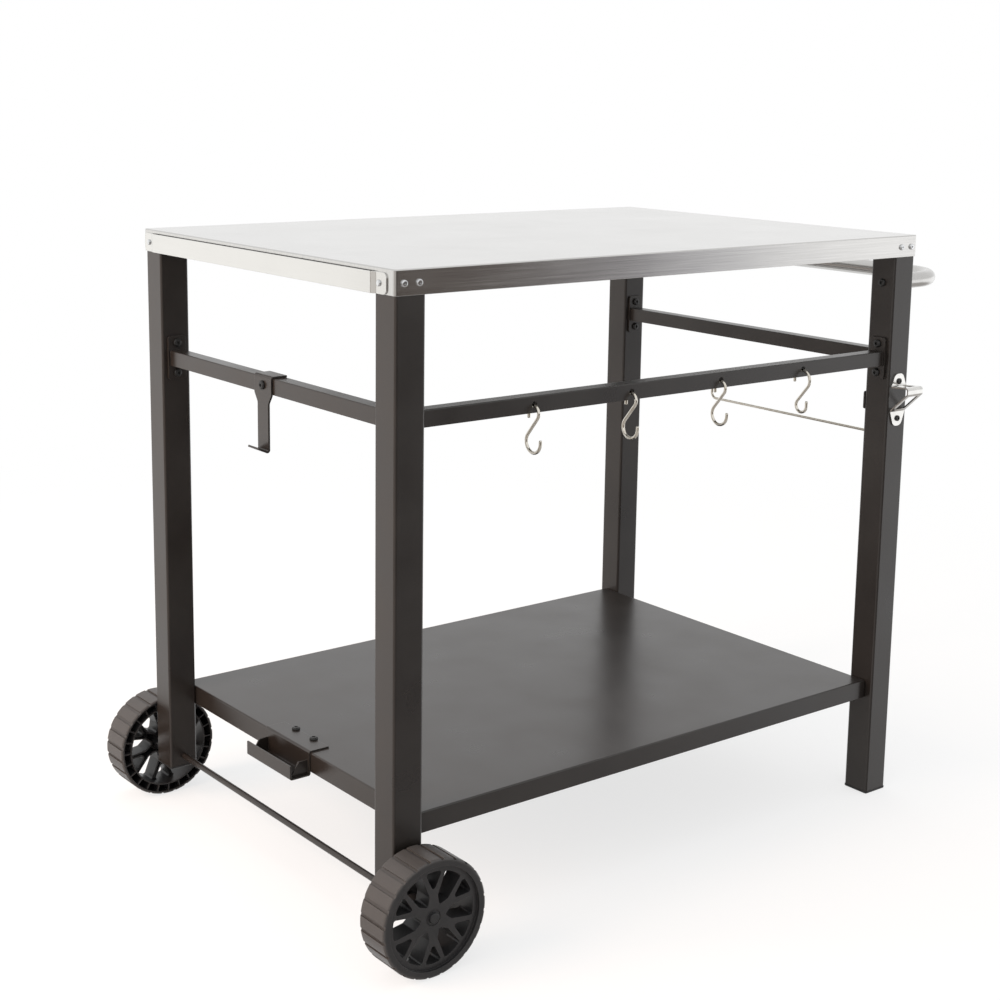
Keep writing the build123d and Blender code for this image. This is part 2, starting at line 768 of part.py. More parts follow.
# Tank hook: a strap over the wheel-end rail, narrowed below it, with its foot turned out and up
strap_x = left_x - rail_side / 2 - tank_hook_sheet / 2
strap_top = rail_top + tank_hook_sheet / 2
with BuildPart() as tank_hook:
    with BuildSketch(Plane.XZ.offset(-tank_offset)):
        with BuildLine():
            FilletPolyline(
                (left_x + rail_side / 2, strap_top),
                (strap_x, strap_top),
                (strap_x, tank_hook_bottom),
                (strap_x - tank_hook_lip, tank_hook_bottom + tank_hook_lip_rise),
                radius=tank_hook_bend,
            )
        trace(line_width=tank_hook_sheet)
    extrude(amount=tank_hook_width / 2, both=True)
    shoulder = rail_bottom - tank_hook_shoulder
    with BuildSketch(Plane(origin=(strap_x, tank_offset, 0), x_dir=FRONT, z_dir=LEFT)) as outline:
        with BuildLine():
            Polyline(
                (-tank_hook_width / 2, strap_top + tank_hook_sheet),
                (-tank_hook_width / 2, shoulder),
                (-tank_hook_neck / 2, shoulder - tank_hook_taper),
                (-tank_hook_neck / 2, tank_hook_bottom - tank_hook_sheet),
                (tank_hook_neck / 2, tank_hook_bottom - tank_hook_sheet),
                (tank_hook_neck / 2, shoulder - tank_hook_taper),
                (tank_hook_width / 2, shoulder),
                (tank_hook_width / 2, strap_top + tank_hook_sheet),
                close=True,
            )
        make_face()
        fillet(outline.vertices().group_by(Axis.Y)[1:3], tank_hook_taper / 2)
    extrude(amount=rail_side + tank_hook_lip, both=True, mode=Mode.INTERSECT)
    with Locations(tank_bolt_seat):
        Hole(bolt_hole / 2, tank_hook_sheet)
tank_hook.part.label = "tank_hook"
export_step(tank_hook.part, "parts/tank_hook.step")

# Tank bracket: a folded tray that hangs from a flange on the shelf's edge
tray_back = shelf_edge_x - tank_bracket_sheet / 2
tray_front = shelf_edge_x - tank_bracket_depth + tank_bracket_sheet / 2
flange_level = shelf_height + tank_bracket_sheet / 2
floor_level = tank_bracket_floor + tank_bracket_sheet / 2
with BuildPart() as tank_bracket:
    with BuildSketch(Plane.XZ.offset(-tank_offset)):
        with BuildLine():
            FilletPolyline(
                (shelf_edge_x + tank_bracket_flange, flange_level),
                (tray_back, flange_level),
                (tray_back, floor_level),
                (tray_front, floor_level),
                (tray_front, tank_bracket_floor + tank_bracket_lip),
                radius=tank_bracket_bend,
            )
        trace(line_width=tank_bracket_sheet)
    extrude(amount=tank_bracket_width / 2, both=True)
    for side in (-1, 1):
        cheek_y = tank_offset + side * (tank_bracket_width / 2 - tank_bracket_cheek_inset)
        with BuildSketch(Plane.XZ.offset(-cheek_y)):
            Polygon(
                (tray_back, floor_level),
                (tray_back, floor_level + tank_bracket_cheek_rise),
                (tray_back - tank_bracket_cheek_flat, floor_level + tank_bracket_cheek_rise),
                (tray_front + tank_bracket_bend, floor_level),
                align=None,
            )
        extrude(amount=tank_bracket_sheet / 2, both=True)
    with Locations(*bracket_bolt_seats):
        Hole(bolt_hole / 2, tank_bracket_sheet)
tank_bracket.part.label = "tank_bracket"
export_step(tank_bracket.part, "parts/tank_bracket.step")

# Bottle opener: one strip folded out to a cap catch and back down to a second tab
opener_y = opener_face - opener_sheet / 2
opener_tip = opener_face - opener_reach + opener_sheet / 2
opener_nose_level = opener_shelf + opener_shelf_rise
with BuildPart() as bottle_opener:
    with BuildSketch(Plane(origin=(right_x, 0, 0), x_dir=REAR, z_dir=RIGHT)):
        with BuildLine():
            FilletPolyline(
                (opener_y, opener_top),
                (opener_y, opener_shelf),
                (opener_tip, opener_nose_level),
                (opener_tip, opener_nose_level - opener_nose_drop),
                (opener_y, opener_heel),
                (opener_y, opener_bottom),
                radius=[opener_bend, opener_nose, opener_nose, opener_bend],
            )
        trace(line_width=opener_sheet)
    extrude(amount=opener_width / 2, both=True)
    with BuildSketch(Plane(origin=(right_x, opener_face, 0), x_dir=RIGHT, z_dir=FRONT)):
        for root, end in ((opener_shelf, opener_top), (opener_heel, opener_bottom)):
            for side in (LEFT[0], RIGHT[0]):
                edge = side * opener_width / 2
                Polygon((edge, root), (edge, end), (side * opener_ear_tip / 2, end), align=None)
    extrude(amount=opener_sheet, mode=Mode.SUBTRACT)
    tab_ends = bottle_opener.edges().filter_by(Axis.Y).group_by(Axis.Z)
    fillet(tab_ends[0] + tab_ends[-1], opener_ear_round)
    window_middle = (opener_shelf_window_start + opener_shelf_window_end) / 2
    with BuildSketch(Plane.XY.offset(opener_nose_level + opener_sheet)):
        with Locations((right_x, opener_face - window_middle)):
            Rectangle(opener_shelf_window, opener_shelf_window_end - opener_shelf_window_start)
    extrude(amount=-opener_shelf_rise - 2 * opener_sheet, mode=Mode.SUBTRACT)
    arm_top = opener_nose_level - opener_nose_drop - opener_arm_window_inset
    arm_bottom = opener_heel + opener_arm_window_inset
    with BuildSketch(Plane.XZ.offset(-opener_tip + opener_reach)):
        with Locations((right_x, (arm_top + arm_bottom) / 2)):
            Rectangle(opener_arm_window, arm_top - arm_bottom)
    extrude(amount=-2 * opener_reach, mode=Mode.SUBTRACT)
    with Locations(*opener_screw_seats):
        Hole(screw_hole / 2, opener_sheet)
bottle_opener.part.label = "bottle_opener"
export_step(bottle_opener.part, "parts/bottle_opener.step")

# Towel rod: a wire that drops from its plate, runs to the rear and turns up at its end
towel_y = towel_face + towel_plate_sheet + towel_wire / 2
with BuildPart() as towel_rod:
    with BuildLine(Plane(origin=(right_x, 0, 0), x_dir=REAR, z_dir=RIGHT)):
        FilletPolyline(
            (towel_y, towel_plate_middle + towel_plate_height / 2 - towel_wire / 2),
            (towel_y, towel_height),
            (towel_face + towel_length, towel_height),
            (towel_face + towel_length, towel_height + towel_tip),
            radius=towel_bend,
        )
    with BuildSketch(
        Plane(
            origin=(right_x, towel_y, towel_plate_middle + towel_plate_height / 2 - towel_wire / 2),
            z_dir=DOWN,
        )
    ):
        Circle(towel_wire / 2)
    sweep()
towel_rod.part.label = "towel_rod"
export_step(towel_rod.part, "parts/towel_rod.step")

# Plate that carries the towel rod on the leg's rear face
with BuildPart() as towel_rod_plate:
    with BuildSketch(Plane(origin=(right_x, towel_face, towel_plate_middle), x_dir=LEFT, z_dir=REAR)):
        RectangleRounded(leg_side, towel_plate_height, leg_corner)
    extrude(amount=towel_plate_sheet)
    with Locations(*towel_screw_seats):
        Hole(screw_hole / 2, towel_plate_sheet)
towel_rod_plate.part.label = "towel_rod_plate"
export_step(towel_rod_plate.part, "parts/towel_rod_plate.step")


def headed_fastener(shank, length, head, head_depth, socket):
    # A domed socket head above its seat and a plain shank below it
    with BuildPart() as fastener:
        with BuildSketch():
            Circle(head / 2)
        extrude(amount=head_depth)
        fillet(fastener.edges().sort_by(Axis.Z)[-1], head_depth * dome_share)
        with BuildSketch(Plane.XY.offset(head_depth)):
            RegularPolygon(socket / 2, 6)
        extrude(amount=-head_depth * socket_share, mode=Mode.SUBTRACT)
        with BuildSketch():
            Circle(shank / 2)
        extrude(amount=-length)
    return fastener.part


def bolt(length):
    return headed_fastener(bolt_diameter, length, bolt_head, bolt_head_depth, bolt_socket)


def screw(length):
    return headed_fastener(screw_diameter, length, screw_head, screw_head_depth, screw_socket)


def set_in_seats(shape, seats):
    # The same fastener at every seat
    with BuildPart() as group:
        with Locations(*seats):
            add(shape)
    return group


# A blind rivet: a domed head outside and an upset tail inside the leg
rivet_grip = strip_sheet + top_sheet + apron_fit + leg_wall
with BuildPart() as rivet:
    with BuildSketch():
        Circle(rivet_head / 2)
    extrude(amount=rivet_head_depth)
    fillet(rivet.edges().sort_by(Axis.Z)[-1], rivet_head_depth * dome_share)
    with BuildSketch():
        Circle(rivet_diameter / 2)
    extrude(amount=-rivet_grip - rivet_reach)
    with BuildSketch(Plane.XY.offset(-rivet_grip)):
        Circle((rivet_diameter + rivet_head) / 4)
    extrude(amount=-rivet_reach)

# A threaded insert in a leg's wall: a sleeve with a collar against the inside of the wall
with BuildPart() as insert:
    with BuildSketch():
        Circle(insert_diameter / 2)
    extrude(amount=-insert_length)
    with BuildSketch(Plane.XY.offset(-leg_wall)):
        Circle(insert_collar / 2)
    extrude(amount=-insert_collar_depth)
    with BuildSketch():
        Circle((bolt_diameter + thread_fit) / 2)
    extrude(amount=-insert_length, mode=Mode.SUBTRACT)

# A hexagon nut on a seat
with BuildPart() as nut:
    with BuildSketch():
        RegularPolygon(nut_width / 2, 6, major_radius=False)
        Circle((bolt_diameter + thread_fit) / 2, mode=Mode.SUBTRACT)
    extrude(amount=nut_depth)

# Fasteners, one group for each kind of place
insert_seats = [s.offset(-plate_sheet) for s in rail_bolt_seats]
insert_seats += [s.offset(-shelf_sheet) for s in shelf_bolt_seats]
tank_bolt_length = tank_hook_sheet + rail_side + nut_depth
bracket_bolt_length = tank_bracket_sheet + shelf_sheet + nut_depth
fastener_groups = (
    ("rail_bolts", bolt(plate_sheet + bolt_reach), rail_bolt_seats),
    ("shelf_bolts", bolt(shelf_sheet + bolt_reach), shelf_bolt_seats),
    ("leg_inserts", insert.part, insert_seats),
    ("top_screws", screw(top_sheet + apron_fit + screw_reach), top_screw_seats),
    ("strip_rivets", rivet.part, rivet_seats),
    ("handle_bolts", bolt(leg_side + handle_plug_length), handle_bolt_seats),
    ("opener_screws", screw(opener_sheet + screw_reach), opener_screw_seats),
    ("towel_screws", screw(towel_plate_sheet + screw_reach), towel_screw_seats),
    ("tank_hook_bolt", bolt(tank_bolt_length), [tank_bolt_seat]),
    ("tank_hook_nut", nut.part, [tank_nut_seat]),
    ("bracket_bolts", bolt(bracket_bolt_length), bracket_bolt_seats),
    ("bracket_nuts", nut.part, [Plane(origin=s.origin, z_dir=DOWN) for s in bracket_nut_seats]),
)
for group_name, shape, seats in fastener_groups:
    group = set_in_seats(shape, seats)
    group.part.label = group_name
    export_step(group.part, f"parts/{group_name}.step")
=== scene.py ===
# %% [markdown]
# A wheeled prep table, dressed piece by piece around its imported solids.
# The solids already have the right shapes and places, so most of them stay and get a finish.
# Only the bent wires are modelled again, because their solids leave out the rounded ends.

# %% Load the frame
import json
import math

import bmesh
import bpy
from mathutils import Matrix, Vector


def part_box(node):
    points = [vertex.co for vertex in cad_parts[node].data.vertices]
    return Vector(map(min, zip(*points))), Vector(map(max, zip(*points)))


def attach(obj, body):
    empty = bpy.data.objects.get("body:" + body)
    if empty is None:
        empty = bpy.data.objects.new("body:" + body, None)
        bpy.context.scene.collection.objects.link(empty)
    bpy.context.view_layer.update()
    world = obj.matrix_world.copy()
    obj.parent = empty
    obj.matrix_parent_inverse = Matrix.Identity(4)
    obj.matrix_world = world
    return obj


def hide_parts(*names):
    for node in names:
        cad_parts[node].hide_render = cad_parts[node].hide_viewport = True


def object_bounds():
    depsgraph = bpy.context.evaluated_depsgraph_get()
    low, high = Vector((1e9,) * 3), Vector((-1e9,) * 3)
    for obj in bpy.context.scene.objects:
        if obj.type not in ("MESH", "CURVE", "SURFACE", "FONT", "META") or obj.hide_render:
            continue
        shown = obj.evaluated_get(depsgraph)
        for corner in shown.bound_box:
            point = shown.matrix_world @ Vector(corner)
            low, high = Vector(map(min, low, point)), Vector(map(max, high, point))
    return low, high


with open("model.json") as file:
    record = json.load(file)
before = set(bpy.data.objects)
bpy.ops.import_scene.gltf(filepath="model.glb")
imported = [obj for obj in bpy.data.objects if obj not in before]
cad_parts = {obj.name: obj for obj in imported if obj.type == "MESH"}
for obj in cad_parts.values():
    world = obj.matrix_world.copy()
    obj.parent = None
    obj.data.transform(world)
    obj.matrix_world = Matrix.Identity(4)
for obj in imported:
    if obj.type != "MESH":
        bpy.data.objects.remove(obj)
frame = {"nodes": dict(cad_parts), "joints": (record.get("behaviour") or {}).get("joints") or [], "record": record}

cad_low, cad_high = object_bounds()
nodes = frame["nodes"]

# %% [markdown]
# Blender works in metres, and a maker thinks in millimetres, so one function converts.
# Colours are written as they look on a screen (sRGB), and shaders want linear light, so a second
# function converts those. A third adds one shader node with its settings, its links and, for a
# colour ramp, its stops.

# %% Millimetres, colours and nodes
def mm(*sizes):
    metres = [size / 1000 for size in sizes]
    return metres[0] if len(metres) == 1 else Vector(metres)


def colour(hex_code):
    channels = [int(hex_code[i:i + 2], 16) / 255 for i in (1, 3, 5)]
    return [c / 12.92 if c <= 0.04045 else ((c + 0.055) / 1.055) ** 2.4 for c in channels] + [1.0]


def add_node(tree, kind, inputs=None, stops=None, **settings):
    node = tree.nodes.new("ShaderNode" + kind)
    for name, value in settings.items():
        setattr(node, name, value)
    for name, value in (inputs or {}).items():
        if isinstance(value, bpy.types.NodeSocket):
            tree.links.new(value, node.inputs[name])
        else:
            node.inputs[name].default_value = value
    if stops:
        ramp = node.color_ramp
        for element, (place, shade) in zip(ramp.elements, (stops[0], stops[-1])):
            element.position = place
            element.color = shade
        for place, shade in stops[1:-1]:
            ramp.elements.new(place).color = shade
    return node


print("mid grey", [round(c, 3) for c in colour("#808080")])

# %% [markdown]
# The table stands on a pale floor. One flat grid is enough, a hair below the wheels and feet.
# Black card in front of a set keeps a pale floor off upright steel: here the floor skips mirrors.

# %% Studio floor
floor_size = 5.2
floor_drop = mm(0.4)

mesh = bpy.data.meshes.new("studio_floor")
bm = bmesh.new()
bmesh.ops.create_grid(bm, x_segments=1, y_segments=1, size=floor_size / 2)
bmesh.ops.translate(bm, vec=(0, 0, -floor_drop), verts=bm.verts)
bm.to_mesh(mesh)
bm.free()
floor = bpy.data.objects.new("studio_floor", mesh)
bpy.context.scene.collection.objects.link(floor)
floor.visible_glossy = False
print("floor", floor.name, floor_size, "m")

# %% [markdown]
# Near the table the floor is a matt surface that takes its shadow, lightened as a bright studio
# sweep is. Farther out it fades to plain white for the camera, for mirrors and for glass, so no
# horizon shows. Only the distance from the table sets the fade, so it is the same in every view.

# %% Floor paint
shadow_zone = (0.9, 2.4)
sweep_light = 0.72

floor_paint = bpy.data.materials.new("matt_studio_floor")
floor_paint.use_nodes = True
tree = floor_paint.node_tree
tree.nodes.clear()
place = add_node(tree, "TexCoord")
distance = add_node(tree, "VectorMath", {0: place.outputs["Object"]}, operation="LENGTH")
far = add_node(
    tree,
    "MapRange",
    {
        "Value": distance.outputs["Value"],
        "From Min": shadow_zone[0],
        "From Max": shadow_zone[1],
        "To Min": sweep_light,
    },
    interpolation_type="SMOOTHSTEP",
)
ray = add_node(tree, "LightPath")
shown = ray.outputs["Is Camera Ray"]
for kind in ("Is Glossy Ray", "Is Transmission Ray"):
    either = add_node(tree, "Math", {0: shown, 1: ray.outputs[kind]}, operation="MAXIMUM")
    shown = either.outputs[0]
fade = add_node(tree, "Math", {0: far.outputs["Result"], 1: shown}, operation="MULTIPLY")
matt = add_node(tree, "BsdfDiffuse", {"Color": colour("#F4F4F4")})
white = add_node(tree, "Emission", {"Color": colour("#FFFFFF"), "Strength": 1.0})
mix = add_node(
    tree, "MixShader", {0: fade.outputs["Value"], 1: matt.outputs[0], 2: white.outputs[0]}
)
add_node(tree, "OutputMaterial", {"Surface": mix.outputs[0]})
mesh.materials.append(floor_paint)
print("floor paint", floor_paint.name)

# %% [markdown]
# Bare steel is only as good as what it mirrors. Around a studio set stand bright and dark walls,
# and the world here is such a ring: each compass angle has its own shade, softly blended.
# Panels round the table could do the same, but the world takes no room and casts no shadow.
# Zero looks out from the hook rail, 90 from the handle, 180 from the rear and -90 from the wheels.
# The front apron mirrors the dark front wall at its left and the bright right wall at its right.

# %% Wall shades
wall_strength = 1.4
wall_ring = [
    (-180, "#EDECEA"),
    (-160, "#F1F0EE"),
    (-143, "#F1F0EE"),
    (-136, "#8F8781"),
    (-128, "#6E6560"),
    (-112, "#BDB9B5"),
    (-60, "#BDB9B5"),
    (-35, "#68625E"),
    (0, "#4A4541"),
    (22, "#3F3832"),
    (36, "#453C35"),
    (40, "#635D5A"),
    (43.5, "#8C8B91"),
    (46, "#D4D4D8"),
    (47.5, "#FFFFFF"),
    (100, "#FBFBFC"),
    (128, "#EDECEA"),
    (180, "#EDECEA"),
]
print("walls", len(wall_ring))

# %% [markdown]
# A point of the world is a direction. The arc tangent of its X and its -Y is the compass angle,
# and a colour ramp turns that angle into the shade of the wall that stands there.

# %% Compass of the world
def round_the_compass(angle):
    return (angle + 180) / 360


world = bpy.data.worlds.new("studio_walls")
bpy.context.scene.world = world
world.use_nodes = True
tree = world.node_tree
tree.nodes.clear()
place = add_node(tree, "TexCoord")
axes = add_node(tree, "SeparateXYZ", {0: place.outputs["Generated"]})
facing = add_node(tree, "Math", {0: axes.outputs["Y"], 1: -1.0}, operation="MULTIPLY")
compass = add_node(
    tree, "Math", {0: axes.outputs["X"], 1: facing.outputs["Value"]}, operation="ARCTAN2"
)
turn = add_node(
    tree,
    "MapRange",
    {"Value": compass.outputs["Value"], "From Min": -math.pi, "From Max": math.pi},
)
ring = add_node(
    tree,
    "ValToRGB",
    {"Fac": turn.outputs["Result"]},
    stops=[(round_the_compass(angle), colour(shade)) for angle, shade in wall_ring],
)
print("compass stops", len(ring.color_ramp.elements))

# %% [markdown]
# Seen from above, upright steel mirrors what is below the horizon and level steel what is above.
# So the ring ends at the horizon, where a pale ceiling starts for the worktop, and far below it
# ends in the grey of a floor. The heights are those of a direction one unit long.

# %% Ceiling and ground of the world
ceiling_heights, ceiling_shade = (-0.04, 0.09), "#D6D6D6"
ground_heights, ground_shade = (-0.28, -0.5), "#A5A2A0"

room = ring.outputs["Color"]
for heights, shade in ((ceiling_heights, ceiling_shade), (ground_heights, ground_shade)):
    reached = add_node(
        tree,
        "MapRange",
        {"Value": axes.outputs["Z"], "From Min": heights[0], "From Max": heights[1]},
        interpolation_type="SMOOTHSTEP",
    )
    blend = add_node(
        tree,
        "MixRGB",
        {"Fac": reached.outputs["Result"], "Color1": room, "Color2": colour(shade)},
    )
    room = blend.outputs["Color"]
print("ceiling from", ceiling_heights[0], "ground from", ground_heights[0])

# %% [markdown]
# Behind the table hangs a white backdrop. The camera and glass see it all round, at a strength of
# 1, and mirrors see it where it hangs. Elsewhere mirrors see the walls, which also light the table.

# %% What each ray sees
backdrop_edges = [(-180, 1), (-166, 1), (-158, 0), (100, 0), (120, 1), (180, 1)]

walls = add_node(tree, "Background", {"Color": room, "Strength": wall_strength})
plain = add_node(tree, "Background", {"Color": colour("#FFFFFF"), "Strength": 1.0})
behind = add_node(
    tree,
    "ValToRGB",
    {"Fac": turn.outputs["Result"]},
    stops=[(round_the_compass(angle), [share] * 3 + [1.0]) for angle, share in backdrop_edges],
)
ray = add_node(tree, "LightPath")
mirrored = add_node(
    tree,
    "Math",
    {0: ray.outputs["Is Glossy Ray"], 1: behind.outputs["Color"]},
    operation="MULTIPLY",
)
shown = mirrored.outputs[0]
for kind in ("Is Camera Ray", "Is Transmission Ray"):
    either = add_node(tree, "Math", {0: shown, 1: ray.outputs[kind]}, operation="MAXIMUM")
    shown = either.outputs[0]
seen = add_node(tree, "MixShader", {0: shown, 1: walls.outputs[0], 2: plain.outputs[0]})
add_node(tree, "OutputWorld", {"Surface": seen.outputs[0]})
print("world", world.name)

# %% [markdown]
# Two soft boxes give the light a direction: a wide one overhead, and a warm key at the wheel end.
# An area lamp is the plain choice, because its size alone sets how soft the shadow edge is.
# The walls are what the steel mirrors, so the boxes themselves stay out of its mirror.

# %% Soft boxes
table_middle = (cad_low + cad_high) / 2
soft_boxes = [
    ("overhead_box", (-0.3, 0.1, 2.7), (2.4, 2.0), 12.0, "#FFFEFC"),
    ("wheel_end_key", (-2.3, 0.3, 1.3), (1.3, 1.3), 68.0, "#FFDEC6"),
]
for name, place, size, power, tint in soft_boxes:
    lamp = bpy.data.lights.new(name, "AREA")
    lamp.shape = "RECTANGLE"
    lamp.size, lamp.size_y = size
    lamp.energy = power
    lamp.color = colour(tint)[:3]
    box = bpy.data.objects.new(name, lamp)
    bpy.context.scene.collection.objects.link(box)
    box.visible_glossy = False
    aim = (table_middle - Vector(place)).to_track_quat("-Z", "Y").to_matrix().to_4x4()
    box.matrix_world = Matrix.Translation(place) @ aim
    print(name, power, "W")

# %% [markdown]
# The camera stands where the photograph was taken: left of the hook rail, a little above the
# worktop, with a slight tilt. Its place and angles were worked out from the table's own corners.
# A small downward shift of the lens keeps the legs nearly upright, as the photograph shows them.

# %% Camera
image_width = 1000
sensor_width = 36.0
focal_pixels = 1746.72
lens_shift = -0.1
azimuth, elevation, roll = (math.radians(a) for a in (-38.1106, 10.4456, 0.8419))
camera_place = mm(-1516.13, -1821.09, 1002.4)

back = Vector(
    (
        math.sin(azimuth) * math.cos(elevation),
        -math.cos(azimuth) * math.cos(elevation),
        math.sin(elevation),
    )
)
level = Vector((0, 0, 1)).cross(back).normalized()
upright = back.cross(level)
right = level * math.cos(roll) + upright * math.sin(roll)
up = upright * math.cos(roll) - level * math.sin(roll)
lens = bpy.data.cameras.new("photo_view")
lens.sensor_width = sensor_width
lens.lens = focal_pixels * sensor_width / image_width
lens.shift_y = lens_shift
camera = bpy.data.objects.new("photo_view", lens)
bpy.context.scene.collection.objects.link(camera)
turn_matrix = Matrix((right, up, back)).transposed().to_4x4()
camera.matrix_world = Matrix.Translation(camera_place) @ turn_matrix
bpy.context.scene.camera = camera
bpy.context.scene.view_settings.view_transform = "Standard"
print("lens", round(lens.lens, 1), "mm")

# %% [markdown]
# A finish is a material named for what it really is. Each one starts from the same few lines:
# a Principled shader with its constant values set on its own sockets, and the piece's Object
# coordinates, which are metres in the table's frame, so a pattern keeps its real size.
# Each one ends alike too: its patterns feed the shader's colour, gloss and, as bump, its normal.

# %% Start and end of a finish
finishes = {}


def start_finish(name, **values):
    material = bpy.data.materials.new(name)
    material.use_nodes = True
    tree = material.node_tree
    shader = tree.nodes["Principled BSDF"]
    for socket, value in values.items():
        shader.inputs[socket].default_value = value
    place = add_node(tree, "TexCoord").outputs["Object"]
    return material, tree, shader, place


def feed_shader(tree, shader, surface, gloss, skin=None):
    tree.links.new(surface, shader.inputs["Base Color"])
    tree.links.new(gloss, shader.inputs["Roughness"])
    if skin is not None:
        tree.links.new(skin, shader.inputs["Normal"])


def per_metre(pitch_mm):
    return 1000 / pitch_mm


print("a 2 mm pattern repeats", per_metre(2), "times a metre")

# %% [markdown]
# Every fold and sawn end is rounded a little, and a round edge catches the light. The solids stay
# as they are, so the Bevel node rounds the shading alone. Where its normal leaves the face's own,
# there is an edge, and noise breaks that edge into patches. Each finish paints those patches paler,
# partly as wear and partly as a painted highlight along the edge.

# %% Soft edges, with wear and a painted highlight
edge_cosines = (0.995, 0.85)


def soft_edges(tree, place, radius_mm, patch_mm):
    rounded = add_node(tree, "Bevel", {"Radius": mm(radius_mm)}, samples=6)
    face = add_node(tree, "NewGeometry")
    turned = add_node(
        tree,
        "VectorMath",
        {0: rounded.outputs[0], 1: face.outputs["Normal"]},
        operation="DOT_PRODUCT",
    )
    edge = add_node(
        tree,
        "MapRange",
        {
            "Value": turned.outputs["Value"],
            "From Min": edge_cosines[0],
            "From Max": edge_cosines[1],
        },
    )
    patches = add_node(
        tree, "TexNoise", {"Vector": place, "Scale": per_metre(patch_mm), "Detail": 4.0}
    )
    # Mask of the patches painted paler: partly wear, partly a painted highlight.
    worn_and_highlit = add_node(
        tree, "Math", {0: edge.outputs[0], 1: patches.outputs["Fac"]}, operation="MULTIPLY"
    )
    return rounded.outputs[0], worn_and_highlit.outputs[0]


print("edges are worn past", round(math.degrees(math.acos(edge_cosines[0])), 1), "degrees")

# %% [markdown]
# Brushed stainless is rolled, then dragged under an abrasive belt. The belt leaves fine parallel
# scratches, so the sheet mirrors its surroundings softly and streaks across the grain.
# Real scratches are some 0.05 mm apart; here they are drawn about 0.6 mm apart, so that they show.
# Noise stretched along the grain draws them, because it has no seams and never repeats.
# The worktop's grain runs along its length and turns down with the sheet at its two ends.

# %% Belt scratches
scratch_pitch, streak_length = 0.6, 90.0
end_facing = 0.7


def belt_scratches(tree, place, grain, end_grain):
    streaks = []
    for direction in (grain, end_grain):
        scale = [
            per_metre(streak_length if axis == direction else scratch_pitch) for axis in "XYZ"
        ]
        stretched = add_node(tree, "Mapping", {"Vector": place, "Scale": scale})
        streak = add_node(
            tree, "TexNoise", {"Vector": stretched.outputs[0], "Scale": 1.0, "Detail": 3.0}
        )
        streaks.append(streak.outputs["Fac"])
    face = add_node(tree, "NewGeometry")
    side = add_node(tree, "SeparateXYZ", {0: face.outputs["Normal"]})
    size = add_node(tree, "Math", {0: side.outputs["X"]}, operation="ABSOLUTE")
    at_end = add_node(tree, "Math", {0: size.outputs[0], 1: end_facing}, operation="GREATER_THAN")
    scratches = add_node(
        tree, "MixRGB", {"Fac": at_end.outputs[0], "Color1": streaks[0], "Color2": streaks[1]}
    )
    return scratches.outputs[0]


print("scratches", round(per_metre(scratch_pitch)), "to the metre")

# %% [markdown]
# The same scratches set the steel's tint, its gloss and its finest bump. Smudges of a hand's
# breadth make the gloss uneven, long shallow waves bend what the sheet mirrors, as in all thin
# sheet, and the edges are painted brighter, partly from rubbing and partly as a painted highlight.

# %% Brushed stainless
smudge_size, smudge_gloss = 140, 0.05
wave_size, wave_depth = 260, mm(1.0)
scratch_depth = mm(0.05)
# Colour of the brighter edges: partly steel bared by rubbing, partly a painted highlight.
rubbed_and_highlit_steel = "#F0EFED"


def brushed_stainless(name, grain, end_grain, tint, roughness):
    material, tree, shader, place = start_finish(name, Metallic=1.0)
    scratches = belt_scratches(tree, place, grain, end_grain)
    shade = add_node(
        tree,
        "ValToRGB",
        {"Fac": scratches},
        stops=[(0.25, colour(tint[0])), (0.75, colour(tint[1]))],
    )
    rounded, worn_and_highlit = soft_edges(tree, place, radius_mm=0.8, patch_mm=12)
    polished = add_node(
        tree,
        "MixRGB",
        {"Fac": worn_and_highlit, "Color1": shade.outputs["Color"], "Color2": colour(rubbed_and_highlit_steel)},
    )
    streaked = add_node(
        tree, "MapRange", {"Value": scratches, "To Min": roughness[0], "To Max": roughness[1]}
    )
    smudges = add_node(
        tree,
        "TexNoise",
        {"Vector": place, "Scale": per_metre(smudge_size), "Detail": 4.0, "Roughness": 0.6},
    )
    smudged = add_node(
        tree,
        "MapRange",
        {"Value": smudges.outputs["Fac"], "To Min": -smudge_gloss, "To Max": smudge_gloss},
    )
    gloss = add_node(tree, "Math", {0: streaked.outputs[0], 1: smudged.outputs[0]})
    fine = add_node(
        tree,
        "Bump",
        {"Strength": 0.06, "Distance": scratch_depth, "Height": scratches, "Normal": rounded},
    )
    waves = add_node(
        tree, "TexNoise", {"Vector": place, "Scale": per_metre(wave_size), "Detail": 1.0}
    )
    dents = add_node(
        tree,
        "Bump",
        {
            "Strength": 0.4,
            "Distance": wave_depth,
            "Height": waves.outputs["Fac"],
            "Normal": fine.outputs[0],
        },
    )
    feed_shader(tree, shader, polished.outputs[0], gloss.outputs[0], dents.outputs[0])
    return material


print("smudges", smudge_size, "mm, waves", wave_size, "mm")

# %% [markdown]
# Three pieces of stainless differ in grain, tint and gloss alone: the worktop's sheet, the strip
# along its left end, which is brushed the other way and paler, and the handle's satin tube.

# %% Stainless sheet, strip and tube
finishes["stainless_sheet"] = brushed_stainless(
    "brushed_stainless_sheet",
    grain="X",
    end_grain="Z",
    tint=("#BFBEBC", "#D6D5D3"),
    roughness=(0.13, 0.21),
)
strip_finish = brushed_stainless(
    "brushed_stainless_strip",
    grain="Y",
    end_grain="Y",
    tint=("#D9D8D5", "#E1E0DD"),
    roughness=(0.18, 0.26),
)
finishes["stainless_tube"] = brushed_stainless(
    "satin_stainless_tube",
    grain="Y",
    end_grain="Y",
    tint=("#BDBCBA", "#CAC9C7"),
    roughness=(0.15, 0.24),
)
print("stainless", sorted(finishes))

